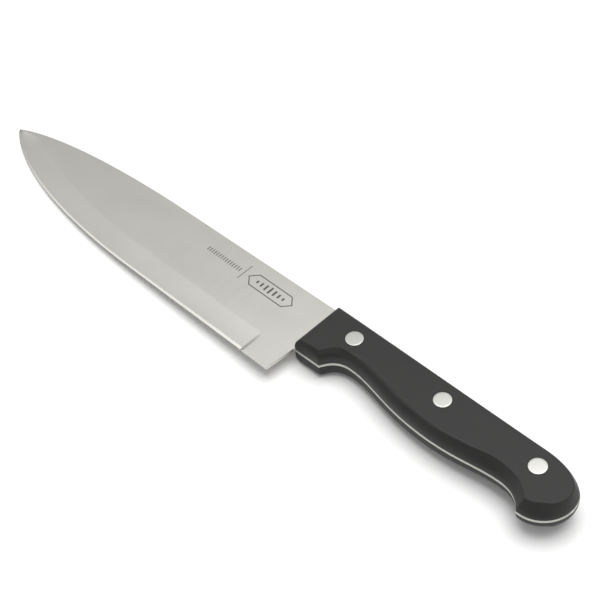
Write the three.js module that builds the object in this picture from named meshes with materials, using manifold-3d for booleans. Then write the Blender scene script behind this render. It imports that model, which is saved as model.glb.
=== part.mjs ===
// Chef's knife with a full tang: one steel blade, two moulded handle scales and three
// two-piece rivets. Millimetres, +Z up. The knife lies on its side on the left scale.
//
// Drawing frame used below: x = 0 is the front of the tang and the tip is at negative x,
// y = 0 is the line of the rivets with the cutting edge towards -Y, and z = 0 is the flat
// outer face of the left scale. The finished group is then moved so that its origin lies
// under the middle of the knife.

import * as THREE from 'three';
import { mergeVertices } from 'three/addons/utils/BufferGeometryUtils.js';
import Module from 'manifold-3d';

const wasm = await Module();
wasm.setup();

// ---------------------------------------------------------------- driving dimensions

const BLADE_LENGTH = 203; // tip to the front of the tang, an 8 inch blade
const TANG_THICKNESS = 1.5; // steel stock of the blade and tang
const SCALE_THICKNESS = 7; // each handle scale
const WALL_UPRIGHT = 2; // lower stretch of a scale's wall that stands upright on the tang
const EDGE_INSET = 3.2; // how far the rounded rest of the wall leans in before the flat face
const HANDLE_THICKNESS = TANG_THICKNESS + 2 * SCALE_THICKNESS;

// Blade profile
const SPINE_AT_HANDLE = 10.45; // spine above the rivet line at the front of the handle
const SPINE_BEND = { x: -100, y: 8.85 }; // where the straight spine starts to drop
const EDGE_BEND = { x: -95, y: -32 }; // where the straight edge starts to rise
const TIP_HEIGHT = -7.2; // tip below the rivet line
const TIP_ROUNDING = { x: 0.8, y: 1.1 }; // half of the small blunt end at the tip
const HEEL = { x: -2.2, y: -33 }; // lower corner behind the cutting edge
const HEEL_ROUNDING = 2; // radius of that corner

// Ground part of the blade
const PLUNGE_X = -16.5; // the grind stops here, ahead of the heel
const GRIND_HEIGHT = 12; // primary grind, measured up from the edge
const BEVEL_HEIGHT = 1.2; // sharpening bevel, measured up from the edge
const BEVEL_THICKNESS = 0.45; // steel left where the sharpening bevel starts
const BLADE_STATIONS = 36; // cross-sections from the plunge line to the tip
const GRIND_OVERLAP = 1; // how far the ground blade runs into the full plate before they join

// Handle outline, shared by the tang and both scales
const SCALE_FRONT = 0.5; // front of both scales; the tang starts at x = 0
const FRONT_DEPTH = 17; // underside at the front, below the rivet line
const GUARD = { x: 14.8, y: -16.8 }; // corner in front of the finger groove
const GROOVE = { x: 26.5, y: -9.2 }; // top of the finger groove
const BELLY = { x: 73.5, y: -15.05 }; // fullest point of the grip
const WAIST = { x: 109.5, y: -11.6 }; // narrow point ahead of the butt
const BUTT_RADIUS = 14.9;
const BUTT_CENTRE = { x: 124.3, y: -3.4 };
const HOOK_ANGLE = -94; // degrees round the butt, at the corner that stops the hand
const BUTT_TOP_ANGLE = 22; // degrees round the butt, where its arc runs out to the back
const BACK_END = { x: 116, y: 10.85 }; // end of the straight back of the handle
const OUTLINE_STEP = 2.8; // chord length on curved stretches
const WALL_STEPS = 4; // facets up the rounded part of a scale's wall

// Rivets: a tube with a head from the right side, a pin with a head from the left side
const RIVET_NAMES = ['front', 'middle', 'rear'];
const FIRST_RIVET_X = 20;
const RIVET_PITCH = 49.5;
const HEAD_RADIUS = 4;
const HEAD_THICKNESS = 1.2;
const HEAD_CHAMFER = 0.2;
const TUBE_RADIUS = 2.3;
const BORE_RADIUS = 1.8;
const PIN_RADIUS = 1.5;
const PIN_LENGTH = 12; // from the left face to the end of the pin
const TUBE_END = 3.2; // height of the tube's open end above the left face
const BORE_END = 12.8; // height of the tube's blind end above the left face
const FIT_GAP = 0.3; // clearance between a rivet and its holes
const ROUND_SEGMENTS = 28;

const STEEL = { color: 0xb9b8b2, roughness: 0.38, metalness: 1 };
const RIVET_STEEL = { color: 0xd4d4ce, roughness: 0.3, metalness: 1 };
const BLACK_PLASTIC = { color: 0x2b2b2a, roughness: 0.45, metalness: 0 };

// ---------------------------------------------------------------- solids and booleans

/** Turns a closed three.js geometry into a manifold-3d solid. */
function toSolid(geometry) {
  const bare = geometry.clone();
  bare.deleteAttribute('normal');
  bare.deleteAttribute('uv');
  const merged = mergeVertices(bare, 1e-4);
  const mesh = new wasm.Mesh({
    numProp: 3,
    vertProperties: new Float32Array(merged.attributes.position.array),
    triVerts: new Uint32Array(merged.index.array),
  });
  return new wasm.Manifold(mesh);
}

/** Turns a manifold-3d solid back into a three.js geometry. */
function toGeometry(solid) {
  const mesh = solid.getMesh();
  const geometry = new THREE.BufferGeometry();
  geometry.setAttribute('position', new THREE.BufferAttribute(mesh.vertProperties, 3));
  geometry.setIndex(new THREE.BufferAttribute(mesh.triVerts, 1));
  geometry.computeVertexNormals();
  return geometry;
}

/** Makes a named mesh with a material of its own. */
function makeMesh(name, geometry, finish) {
  const mesh = new THREE.Mesh(geometry, new THREE.MeshStandardMaterial(finish));
  mesh.name = name;
  return mesh;
}

/** A cylinder that stands on z = bottom with its axis through (x, 0). */
function standingCylinder(x, radius, bottom, top) {
  const cylinder = new THREE.CylinderGeometry(radius, radius, top - bottom, ROUND_SEGMENTS);
  cylinder.rotateX(Math.PI / 2);
  cylinder.translate(x, 0, (top + bottom) / 2);
  return cylinder;
}

/** Joins rings that have the same number of points into one closed skin, flat at both ends. */
function closedLoft(rings) {
  const count = rings[0].length;
  const positions = rings.flat().flatMap((point) => [point.x, point.y, point.z]);
  const index = [];
  for (let ring = 0; ring < rings.length - 1; ring += 1) {
    for (let i = 0; i < count; i += 1) {
      const next = (i + 1) % count;
      const a = ring * count + i;
      const b = ring * count + next;
      const c = a + count;
      const d = b + count;
      index.push(a, b, d, a, d, c);
    }
  }
  return { positions, index };
}

function indexedGeometry(positions, index) {
  const geometry = new THREE.BufferGeometry();
  geometry.setAttribute('position', new THREE.Float32BufferAttribute(positions, 3));
  geometry.setIndex(index);
  return geometry;
}

// ---------------------------------------------------------------- outlines

/** Point on the butt's arc at an angle in radians. */
function onButt(angle) {
  const arm = new THREE.Vector2(Math.cos(angle), Math.sin(angle));
  return arm.multiplyScalar(BUTT_RADIUS).add(BUTT_CENTRE);
}

/** Continues a path from the handle's underside at the front, round the butt, to its back. */
function drawHandle(path) {
  path.lineTo(GUARD.x, GUARD.y);
  path.bezierCurveTo(GUARD.x + 2.4, GUARD.y + 4.6, GROOVE.x - 6.5, GROOVE.y, GROOVE.x, GROOVE.y);
  path.bezierCurveTo(GROOVE.x + 13, GROOVE.y, BELLY.x - 24, BELLY.y, BELLY.x, BELLY.y);
  path.bezierCurveTo(BELLY.x + 16, BELLY.y, WAIST.x - 11, WAIST.y, WAIST.x, WAIST.y);
  const hookAngle = THREE.MathUtils.degToRad(HOOK_ANGLE);
  const topAngle = THREE.MathUtils.degToRad(BUTT_TOP_ANGLE);
  const hook = onButt(hookAngle);
  path.bezierCurveTo(WAIST.x + 6, WAIST.y, hook.x - 3.4, hook.y + 4.6, hook.x, hook.y);
  path.absarc(BUTT_CENTRE.x, BUTT_CENTRE.y, BUTT_RADIUS, hookAngle, topAngle, false);
  const end = onButt(topAngle);
  const reach = 3.5; // how far the curve's first handle carries on from the arc
  path.bezierCurveTo(
    end.x - reach * Math.sin(topAngle), end.y + reach * Math.cos(topAngle),
    BACK_END.x + 13.5, BACK_END.y, BACK_END.x, BACK_END.y,
  );
}

/** Outline of a scale: the handle alone, closed by its straight front. */
function scaleOutline() {
  const shape = new THREE.Shape();
  shape.moveTo(SCALE_FRONT, -FRONT_DEPTH);
  drawHandle(shape);
  shape.lineTo(SCALE_FRONT, SPINE_AT_HANDLE);
  shape.lineTo(SCALE_FRONT, -FRONT_DEPTH);
  return shape;
}

/** Outline of the full-thickness steel: the heel behind the plunge line, and the tang. */
function plateOutline() {
  const shape = new THREE.Shape();
  shape.moveTo(PLUNGE_X, spineHeight(PLUNGE_X));
  shape.lineTo(PLUNGE_X, edgeHeight(PLUNGE_X));
  shape.lineTo(HEEL.x - HEEL_ROUNDING, HEEL.y);
  shape.quadraticCurveTo(HEEL.x, HEEL.y, HEEL.x + 0.25, HEEL.y + HEEL_ROUNDING);
  shape.lineTo(0, -FRONT_DEPTH);
  drawHandle(shape);
  shape.lineTo(0, SPINE_AT_HANDLE);
  shape.lineTo(PLUNGE_X, spineHeight(PLUNGE_X));
  return shape;
}

/** Points round a shape: the ends of straight stretches, and even chords on curved ones. */
function outlinePoints(shape) {
  const points = [];
  for (const curve of shape.curves) {
    const straight = curve.isLineCurve;
    const chords = straight ? 1 : Math.ceil(curve.getLength() / OUTLINE_STEP);
    points.push(...curve.getSpacedPoints(chords).slice(0, -1));
  }
  return points;
}

/** Moves each side of an outline inwards by the same distance, with mitred corners. */
function insetOutline(points, distance) {
  return points.map((point, i) => {
    const before = points[(i + points.length - 1) % points.length];
    const after = points[(i + 1) % points.length];
    const along = point.clone().sub(before).normalize();
    const onward = after.clone().sub(point).normalize();
    const bisector = new THREE.Vector2(-(along.y + onward.y), along.x + onward.x).normalize();
    const lean = bisector.dot(new THREE.Vector2(-along.y, along.x));
    return point.clone().addScaledVector(bisector, distance / lean);
  });
}

// ---------------------------------------------------------------- blade

/** Curve of the spine from the straight stretch to the top of the blunt tip. */
function spineCurve() {
  return new THREE.CubicBezierCurve(
    new THREE.Vector2(SPINE_BEND.x, SPINE_BEND.y),
    new THREE.Vector2(SPINE_BEND.x - 29, SPINE_BEND.y - 0.5),
    new THREE.Vector2(SPINE_BEND.x - 81, SPINE_BEND.y - 3.8),
    new THREE.Vector2(-BLADE_LENGTH + TIP_ROUNDING.x, TIP_HEIGHT + TIP_ROUNDING.y),
  );
}

/** Curve of the cutting edge from the straight stretch to the bottom of the blunt tip. */
function edgeCurve() {
  return new THREE.CubicBezierCurve(
    new THREE.Vector2(EDGE_BEND.x, EDGE_BEND.y),
    new THREE.Vector2(EDGE_BEND.x - 31, EDGE_BEND.y + 0.1),
    new THREE.Vector2(EDGE_BEND.x - 82.5, EDGE_BEND.y + 4.5),
    new THREE.Vector2(-BLADE_LENGTH + TIP_ROUNDING.x, TIP_HEIGHT - TIP_ROUNDING.y),
  );
}

const CURVE_SAMPLES = 400;
const SPINE_POINTS = spineCurve().getPoints(CURVE_SAMPLES);
const EDGE_POINTS = edgeCurve().getPoints(CURVE_SAMPLES);

/** Height of a sampled curve at x, by straight interpolation between its points. */
function heightOn(points, x) {
  const i = points.findIndex((point) => point.x <= x);
  if (i <= 0) return points[i === 0 ? 0 : points.length - 1].y;
  const share = (x - points[i].x) / (points[i - 1].x - points[i].x);
  return THREE.MathUtils.lerp(points[i].y, points[i - 1].y, share);
}

/** How far the blunt end reaches from the tip's centre line at x: a quarter of an ellipse. */
function tipReach(x) {
  const share = (x + BLADE_LENGTH - TIP_ROUNDING.x) / TIP_ROUNDING.x;
  return TIP_ROUNDING.y * Math.sqrt(Math.max(0, 1 - share * share));
}

function spineHeight(x) {
  if (x > SPINE_BEND.x) {
    return THREE.MathUtils.mapLinear(x, SPINE_BEND.x, 0, SPINE_BEND.y, SPINE_AT_HANDLE);
  }
  if (x < -BLADE_LENGTH + TIP_ROUNDING.x) return TIP_HEIGHT + tipReach(x);
  return heightOn(SPINE_POINTS, x);
}

function edgeHeight(x) {
  if (x > EDGE_BEND.x) {
    return THREE.MathUtils.mapLinear(x, EDGE_BEND.x, HEEL.x, EDGE_BEND.y, HEEL.y);
  }
  if (x < -BLADE_LENGTH + TIP_ROUNDING.x) return TIP_HEIGHT - tipReach(x);
  return heightOn(EDGE_POINTS, x);
}

/** Half thickness of the ground blade at a distance above the cutting edge. */
function halfThickness(above) {
  if (above < BEVEL_HEIGHT) return (BEVEL_THICKNESS / 2) * (above / BEVEL_HEIGHT);
  const share = Math.min(1, (above - BEVEL_HEIGHT) / (GRIND_HEIGHT - BEVEL_HEIGHT));
  return THREE.MathUtils.lerp(BEVEL_THICKNESS, TANG_THICKNESS, share) / 2;
}

/** One cross-section of the ground blade, from the edge up the right side and down the left. */
function bladeSection(x) {
  const edge = edgeHeight(x);
  const depth = spineHeight(x) - edge;
  const middle = SCALE_THICKNESS + TANG_THICKNESS / 2;
  const levels = [BEVEL_HEIGHT, GRIND_HEIGHT, depth].map((level, i) => (
    Math.min(level, depth * [0.3, 0.8, 1][i])
  ));
  const side = (sign) => levels.map((above) => (
    new THREE.Vector3(x, edge + above, middle + sign * halfThickness(above))
  ));
  return [new THREE.Vector3(x, edge, middle), ...side(1), ...side(-1).reverse()];
}

/** The ground blade: sections bunched towards the tip, closed by a point at the tip. */
function groundBlade() {
  const start = PLUNGE_X + GRIND_OVERLAP;
  const rings = [];
  for (let i = 0; i < BLADE_STATIONS; i += 1) {
    const share = Math.sin((Math.PI / 2) * (i / BLADE_STATIONS));
    rings.push(bladeSection(THREE.MathUtils.lerp(start, -BLADE_LENGTH, share)));
  }
  const { positions, index } = closedLoft(rings);
  const count = rings[0].length;
  const tip = positions.length / 3;
  positions.push(-BLADE_LENGTH, TIP_HEIGHT, SCALE_THICKNESS + TANG_THICKNESS / 2);
  const last = (rings.length - 1) * count;
  for (let i = 0; i < count; i += 1) {
    index.push(last + i, last + ((i + 1) % count), tip);
  }
  for (let i = 1; i < count - 1; i += 1) {
    index.push(0, i + 1, i);
  }
  return indexedGeometry(positions, index);
}

/** The whole blade: full-thickness plate with its rivet holes, joined to the ground blade. */
function makeBlade() {
  const plate = new THREE.ExtrudeGeometry(new THREE.Shape(outlinePoints(plateOutline())), {
    depth: TANG_THICKNESS,
    bevelEnabled: false,
  });
  plate.translate(0, 0, SCALE_THICKNESS);
  let solid = toSolid(plate).add(toSolid(groundBlade()));
  for (const x of rivetPlaces()) {
    const hole = standingCylinder(x, TUBE_RADIUS + FIT_GAP, 0, HANDLE_THICKNESS);
    solid = solid.subtract(toSolid(hole));
  }
  return makeMesh('blade', toGeometry(solid), STEEL);
}

// ---------------------------------------------------------------- handle scales

/**
 * Distance that a scale's wall leans in at a height above the tang. It stands upright up to
 * WALL_UPRIGHT, and then follows an arc that has leaned in by EDGE_INSET at the flat face.
 */
function wallLean(height) {
  const rise = SCALE_THICKNESS - WALL_UPRIGHT;
  const radius = rise / Math.sin(2 * Math.atan(EDGE_INSET / rise));
  const climb = Math.max(0, height - WALL_UPRIGHT);
  return radius - Math.sqrt(radius * radius - climb * climb);
}

/** Heights of the rings up a scale's wall, closer together towards the flat face. */
function wallHeights() {
  const heights = [0];
  for (let step = 0; step <= WALL_STEPS; step += 1) {
    const share = Math.sin((Math.PI / 2) * (step / WALL_STEPS));
    heights.push(THREE.MathUtils.lerp(WALL_UPRIGHT, SCALE_THICKNESS, share));
  }
  return heights;
}

/** A scale that stands on the tang at z = 0, with its flat outer face at SCALE_THICKNESS. */
function scaleBody() {
  const outline = outlinePoints(scaleOutline());
  const rings = wallHeights().map((height) => (
    insetOutline(outline, wallLean(height)).map((point) => (
      new THREE.Vector3(point.x, point.y, height)
    ))
  ));
  const { positions, index } = closedLoft(rings);
  const top = (rings.length - 1) * outline.length;
  const flat = rings.at(-1).map((point) => new THREE.Vector2(point.x, point.y));
  for (const [a, b, c] of THREE.ShapeUtils.triangulateShape(flat, [])) {
    index.push(top + a, top + b, top + c);
  }
  for (const [a, b, c] of THREE.ShapeUtils.triangulateShape(outline, [])) {
    index.push(a, c, b);
  }
  return toSolid(indexedGeometry(positions, index));
}

/** Cuts the three stepped rivet holes through a scale that stands on z = 0. */
function drillScale(body) {
  const floor = SCALE_THICKNESS - HEAD_THICKNESS - FIT_GAP;
  let drilled = body;
  for (const x of rivetPlaces()) {
    const shankHole = standingCylinder(x, TUBE_RADIUS + FIT_GAP, -1, SCALE_THICKNESS + 1);
    const headRecess = standingCylinder(x, HEAD_RADIUS + FIT_GAP, floor, SCALE_THICKNESS + 1);
    drilled = drilled.subtract(toSolid(shankHole)).subtract(toSolid(headRecess));
  }
  return drilled;
}

/** Turns the faces of a geometry over, as a mirror image needs. */
function flipFaces(geometry) {
  const index = geometry.index.array;
  for (let i = 0; i < index.length; i += 3) {
    [index[i], index[i + 1]] = [index[i + 1], index[i]];
  }
  geometry.computeVertexNormals();
}

function makeScale(name, mirrored) {
  const geometry = toGeometry(drillScale(scaleBody()));
  if (mirrored) {
    geometry.scale(1, 1, -1);
    flipFaces(geometry);
    geometry.translate(0, 0, SCALE_THICKNESS);
  } else {
    geometry.translate(0, 0, SCALE_THICKNESS + TANG_THICKNESS);
  }
  return makeMesh(name, geometry, BLACK_PLASTIC);
}

// ---------------------------------------------------------------- rivets

function rivetPlaces() {
  return RIVET_NAMES.map((name, i) => FIRST_RIVET_X + i * RIVET_PITCH);
}

/** Revolves [radius, height] pairs, listed from the axis at the bottom to the axis at the top. */
function turned(profile) {
  const points = profile.map(([radius, height]) => new THREE.Vector2(radius, height));
  const geometry = new THREE.LatheGeometry(points, ROUND_SEGMENTS);
  geometry.rotateX(Math.PI / 2);
  return toGeometry(toSolid(geometry));
}

/** The pin half: its head is flush with the left scale and its shank points up. */
function makePin(name, x) {
  const geometry = turned([
    [0, 0],
    [HEAD_RADIUS - HEAD_CHAMFER, 0],
    [HEAD_RADIUS, HEAD_CHAMFER],
    [HEAD_RADIUS, HEAD_THICKNESS],
    [PIN_RADIUS, HEAD_THICKNESS],
    [PIN_RADIUS, PIN_LENGTH - HEAD_CHAMFER],
    [PIN_RADIUS - HEAD_CHAMFER, PIN_LENGTH],
    [0, PIN_LENGTH],
  ]);
  geometry.translate(x, 0, 0);
  return makeMesh(`${name}_rivet_pin`, geometry, RIVET_STEEL);
}

/** The tube half: its head is flush with the right scale and it takes the pin's shank. */
function makeTube(name, x) {
  const top = HANDLE_THICKNESS;
  const geometry = turned([
    [0, BORE_END],
    [BORE_RADIUS, BORE_END],
    [BORE_RADIUS, TUBE_END],
    [TUBE_RADIUS, TUBE_END],
    [TUBE_RADIUS, top - HEAD_THICKNESS],
    [HEAD_RADIUS, top - HEAD_THICKNESS],
    [HEAD_RADIUS, top - HEAD_CHAMFER],
    [HEAD_RADIUS - HEAD_CHAMFER, top],
    [0, top],
  ]);
  geometry.translate(x, 0, 0);
  return makeMesh(`${name}_rivet_tube`, geometry, RIVET_STEEL);
}

// ---------------------------------------------------------------- assembly

const knife = new THREE.Group();
knife.add(makeBlade());
knife.add(makeScale('right_scale', false));
knife.add(makeScale('left_scale', true));
rivetPlaces().forEach((x, i) => {
  knife.add(makePin(RIVET_NAMES[i], x));
  knife.add(makeTube(RIVET_NAMES[i], x));
});

// The origin lies on the table, under the middle of the knife's length and depth.
const box = new THREE.Box3().setFromObject(knife);
const middle = box.getCenter(new THREE.Vector3());
knife.position.set(-middle.x, -middle.y, -box.min.z);

export default knife;
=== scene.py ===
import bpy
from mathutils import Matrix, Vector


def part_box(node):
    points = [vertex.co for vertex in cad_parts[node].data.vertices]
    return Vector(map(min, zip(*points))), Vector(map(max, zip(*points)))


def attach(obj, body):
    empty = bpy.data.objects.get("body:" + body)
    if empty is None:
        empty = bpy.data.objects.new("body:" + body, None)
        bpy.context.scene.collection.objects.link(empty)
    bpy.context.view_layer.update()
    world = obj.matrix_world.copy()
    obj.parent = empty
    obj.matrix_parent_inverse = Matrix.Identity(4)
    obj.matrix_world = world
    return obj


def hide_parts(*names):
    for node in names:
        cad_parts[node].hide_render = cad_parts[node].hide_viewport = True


bl_info = {
    "name": "Chef's Knife",
    "version": (1, 0, 0),
    "blender": (4, 5, 0),
    "location": "3D View > Sidebar > Knife",
    "description": "Builds a full-tang chef's knife and the small studio it lies in",
    "category": "Object",
}

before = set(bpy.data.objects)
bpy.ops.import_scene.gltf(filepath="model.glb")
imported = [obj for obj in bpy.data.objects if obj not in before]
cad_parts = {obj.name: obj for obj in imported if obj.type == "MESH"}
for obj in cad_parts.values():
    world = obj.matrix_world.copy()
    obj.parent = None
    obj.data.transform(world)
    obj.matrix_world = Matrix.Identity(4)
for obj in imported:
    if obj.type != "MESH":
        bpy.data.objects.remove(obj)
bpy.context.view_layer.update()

import math

import bpy
import numpy as np
from bpy.props import FloatProperty, FloatVectorProperty, PointerProperty
from mathutils import Matrix, Vector

# The drawing: x runs from the blade's tip (negative) to the butt, with 0 at the front of the
# tang, and y = 0 is the line of the rivets with the cutting edge at negative y. Outline points
# are in millimetres and are turned into metres by at(). Heights start at the outer face of the
# left scale, on which the knife lies.

MM = 0.001

RIVETS = ("front", "middle", "rear")
FIRST_RIVET = 20.0  # from the front of the tang to the front rivet's axis
TANG_HOLE = 2.6  # radius of the tang's holes
SHANK_HOLE = 2.5  # radius of the scales' holes
SEAT_DEPTH = 1.3  # depth of the recess for a rivet's head
HEAD_THICKNESS = 1.2
TUBE_RADIUS, TUBE_BORE, TUBE_LENGTH = 2.3, 1.8, 12.3
PIN_RADIUS, PIN_LENGTH = 1.5, 12.0
BORE_END = 2.7  # the tube's bore stops this far below the face of its head

GUARD = (14.8, -16.8)  # corner in front of the finger groove
GROOVE = (26.5, -9.2)  # top of the finger groove
BELLY = (73.5, -15.05)  # fullest point of the grip
WAIST = (109.5, -11.6)  # narrow point ahead of the butt
BUTT_CENTRE = (124.3, -3.4)
BUTT_RADIUS = 14.9
HOOK_ANGLE = -94.0  # degrees round the butt, at the corner that stops the hand
BUTT_TOP_ANGLE = 22.0  # degrees round the butt, where its arc runs out to the back
BUTT_CLOSE_ANGLE = 3.0  # half of the small end that closes the tang at the butt
BACK_END = (116.0, 10.85)  # end of the straight back of the handle
SPINE_AT_HANDLE = (0.0, 10.45)
SPINE_BEND = (-100.0, 8.85)  # where the straight spine starts to drop
EDGE_BEND = (-95.0, -32.0)  # where the straight edge starts to rise
TIP_HEIGHT = -7.2
TIP_ROUNDING = (0.8, 1.1)  # half of the small blunt end at the tip
HEEL = (-1.0, -32.3)
HEEL_ROUNDING = 1.1
PLUNGE_X = -16.5  # the grind stops here, ahead of the heel
PLUNGE_REACH = 1.1  # the steel thickens to the full plate over this length to both sides
FINE_REACH = 1.6  # the stations stand closer together over this length to both sides
HOLLOW_POWER = 1.2  # 1 is a flat grind, and more is more hollow
HOLLOW_GAIN = 0.4  # added to the power near the heel
HOLLOW_FROM = -80.0  # from here towards the heel the grind grows more hollow
HOLLOW_RUN = 45.0  # and over this length the change is complete
HEEL_GAIN = 0.3  # the bevel is this share higher and thicker near the heel
HALF_APEX = 0.02  # half of the thickness left at the cutting edge
SCALE_FRONT = 0.5
FRONT_DEPTH = 17.0  # underside at the front of the handle, below the rivet line

# Wall of a handle scale at named places round the outline: the place, how far the wall has
# leaned in at the flat face, how high it stands upright above the tang, and how far the
# rounding of the crease between the wall and the flat face reaches to both sides of it.
WALL_PLACES = (
    ((SCALE_FRONT, -FRONT_DEPTH), 2.6, 3.8, 0.5),
    ((3.0, -17.0), 1.3, 4.0, 1.2),
    ((11.0, -16.9), 2.2, 4.2, 0.9),
    (GUARD, 2.6, 4.2, 0.15),
    ((19.6, -10.6), 3.3, 4.0, 0.15),
    ((24.0, -9.3), 2.4, 3.8, 0.25),
    ((31.0, -9.5), 2.3, 3.6, 2.0),
    ((50.0, -12.9), 2.4, 3.4, 2.6),
    (BELLY, 2.5, 3.0, 1.6),
    ((90.0, -14.0), 3.1, 2.6, 0.8),
    ((104.0, -11.9), 4.0, 2.2, 0.3),
    ((112.0, -11.7), 3.2, 1.8, 0.25),
    ((119.0, -14.0), 3.0, 1.6, 0.2),
    ((123.3, -18.2), 3.2, 1.4, 0.12),
    ((133.5, -15.1), 3.6, 1.2, 0.12),
    ((138.0, -9.2), 2.6, 1.2, 0.2),
    ((139.2, -2.0), 2.1, 1.2, 0.4),
    ((136.0, 5.0), 2.4, 1.6, 0.6),
    (BACK_END, 2.8, 2.4, 0.6),
    ((SCALE_FRONT, 10.45), 2.4, 3.6, 0.5),
)
# The left scale's extra upright height puts dark plastic where the knife's contact shadow on the
# table lies, as painted shade.
LEFT_EXTRA = 1.1  # the left scale's wall stands upright this much further
WALL_COUNTS = (40, 260, 260, 40)  # points along the outline's stretches
WALL_CORNER = 0.6  # reach of the rounding where two stretches of the wall meet

# The etched mark: a row of bars, a divider and a pointed frame with bars of several heights.
MARK_LINE = -0.4  # height of the row and the frame's middle above the rivet line
ROW_FROM, ROW_TO, ROW_COUNT = -71.5, -51.0, 15
ROW_BAR = (0.45, 2.4)  # width and height
DIVIDER = (-48.2, 0.0, 0.35, 9.6)  # centre, width and height
FRAME_MIDDLE = -31.5
FRAME_HALF_LONG, FRAME_HALF_HIGH, FRAME_NOSE = 13.5, 3.6, 3.4
FRAME_LINE = 0.5
INSIDE_REACH = 8.0  # the frame's outermost bars stand this far from its middle
INSIDE_WIDTH = 1.0
INSIDE_HEIGHTS = (1.6, 2.4, 3.2, 4.0, 3.2, 2.4, 1.6)
MARK_DEPTH, MARK_HEIGHT = 0.01, 0.012  # below and above the face of the blade

# The studio's two hanging lights, in metres: where each hangs and its size along x and y.
KEY_PLACE, KEY_SIZE = (0.17, 0.18, 1.2), (1.0, 1.0)
STRIP_PLACE, STRIP_SIZE = (-0.9, 0.2, 1.2), (1.0, 0.3)
ROOM_UP = (-0.1, 0.45, 0.89)  # the room is lightest this way: upwards and behind the knife
ROOM_DIMMEST = 0.15  # share of the room's light that is left on the dim side
TABLE_REACH = 4.0
TABLE_GAP = 0.00005  # between the table and the knife


def at(place):
    """A point, or rows of points, of the drawing in metres."""
    return np.array(place, float) * MM


def drawing_origin():
    """The drawing's origin in the row frame, from the front rivet and the lower scale."""
    low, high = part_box("front_rivet_tube")
    middle = (low + high) / 2
    return np.array((middle.x - FIRST_RIVET * MM, middle.y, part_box("left_scale")[0].z))


ORIGIN = drawing_origin()
TANG_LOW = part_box("blade")[0].z
TANG_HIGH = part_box("blade")[1].z
FACE_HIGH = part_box("right_scale")[1].z


# ------------------------------------------------------------------------- settings


class KnifeSizes(bpy.types.PropertyGroup):
    """Sizes of the knife that a user may change."""

    blade_length: FloatProperty(
        name="Blade length",
        description="From the front of the tang to the tip",
        default=0.203,
        unit="LENGTH",
    )
    grind_height: FloatProperty(
        name="Grind height",
        description="Height of the primary grind above the cutting edge",
        default=0.012,
        unit="LENGTH",
    )
    bevel_height: FloatProperty(
        name="Bevel height",
        description="Height of the sharpened bevel above the cutting edge",
        default=0.001,
        unit="LENGTH",
    )
    bevel_thickness: FloatProperty(
        name="Bevel thickness",
        description="Thickness of the steel at the top of the sharpened bevel",
        default=0.0004,
        unit="LENGTH",
    )
    steel_break: FloatProperty(
        name="Steel edge break",
        description="Radius that takes the burr off the edges of the plate",
        default=0.00025,
        unit="LENGTH",
    )
    wall_rounding: FloatProperty(
        name="Wall rounding",
        description="Reach of the rounding between the upright and the leaning part of a wall",
        default=0.002,
        unit="LENGTH",
    )
    rivet_pitch: FloatProperty(
        name="Rivet pitch",
        description="Distance between neighbouring rivets",
        default=0.0495,
        unit="LENGTH",
    )
    head_radius: FloatProperty(
        name="Rivet head radius",
        description="Radius of a rivet's flush head",
        default=0.00397,
        unit="LENGTH",
    )
    head_gap: FloatProperty(
        name="Head gap",
        description="Dark gap between a rivet's head and its recess",
        default=0.0001,
        unit="LENGTH",
    )


class KnifeColours(bpy.types.PropertyGroup):
    """Colours of the knife's materials."""

    steel: FloatVectorProperty(
        name="Blade steel",
        description="Colour of the satin blade",
        default=(0.628, 0.62, 0.577),
        size=3,
        subtype="COLOR",
    )
    rivet: FloatVectorProperty(
        name="Rivet steel",
        description="Colour of the rivet heads",
        default=(0.57, 0.567, 0.536),
        size=3,
        subtype="COLOR",
    )
    plastic: FloatVectorProperty(
        name="Handle plastic",
        description="Colour of the moulded handle scales",
        default=(0.0225, 0.0225, 0.0217),
        size=3,
        subtype="COLOR",
    )
    etching: FloatVectorProperty(
        name="Etching",
        description="Colour of the etched mark",
        default=(0.09, 0.088, 0.08),
        size=3,
        subtype="COLOR",
    )


class StudioSettings(bpy.types.PropertyGroup):
    """Camera and light of the studio."""

    camera_offset: FloatVectorProperty(
        name="Camera offset",
        description="Camera position, measured from the top of the front rivet",
        default=(0.3267, -0.29957, 0.51181),
        size=3,
        subtype="TRANSLATION",
    )
    camera_azimuth: FloatProperty(
        name="View azimuth",
        description="Direction of view round the vertical, from +X towards +Y",
        default=math.radians(140.172),
        subtype="ANGLE",
    )
    camera_elevation: FloatProperty(
        name="View elevation",
        description="Direction of view above the horizontal",
        default=math.radians(-47.556),
        subtype="ANGLE",
    )
    camera_roll: FloatProperty(
        name="Camera roll",
        description="Turn of the camera about its line of view",
        default=math.radians(-6.727),
        subtype="ANGLE",
    )
    lens: FloatProperty(
        name="Focal length",
        description="Focal length of the camera on a 36 mm sensor, in millimetres",
        default=96.586,
    )
    key_power: FloatProperty(
        name="Key power",
        description="Power of the large soft light that hangs above the knife",
        default=12.5,
        unit="POWER",
    )
    strip_power: FloatProperty(
        name="Strip power",
        description="Power of the narrow soft light that the grind and the bevel reflect",
        default=0.9,
        unit="POWER",
    )
    table_glow: FloatProperty(
        name="Table glow",
        description="Strength of the light that the table gives off, which lifts its shadows",
        default=0.07,
    )
    room_light: FloatProperty(
        name="Room light",
        description="Strength of the light from all round, on its lightest side",
        default=0.52,
    )


# ------------------------------------------------------------------------- curves


def bezier(start, pull_start, pull_end, end, count=160):
    """Cubic Bezier curve: its four points weighted by (1-t)^3, 3(1-t)^2 t, 3(1-t) t^2, t^3."""
    t = np.linspace(0.0, 1.0, count)[:, None]
    points = (at(p) for p in (start, pull_start, pull_end, end))
    weights = ((1 - t) ** 3, 3 * (1 - t) ** 2 * t, 3 * (1 - t) * t**2, t**3)
    return sum(weight * point for weight, point in zip(weights, points))


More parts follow.
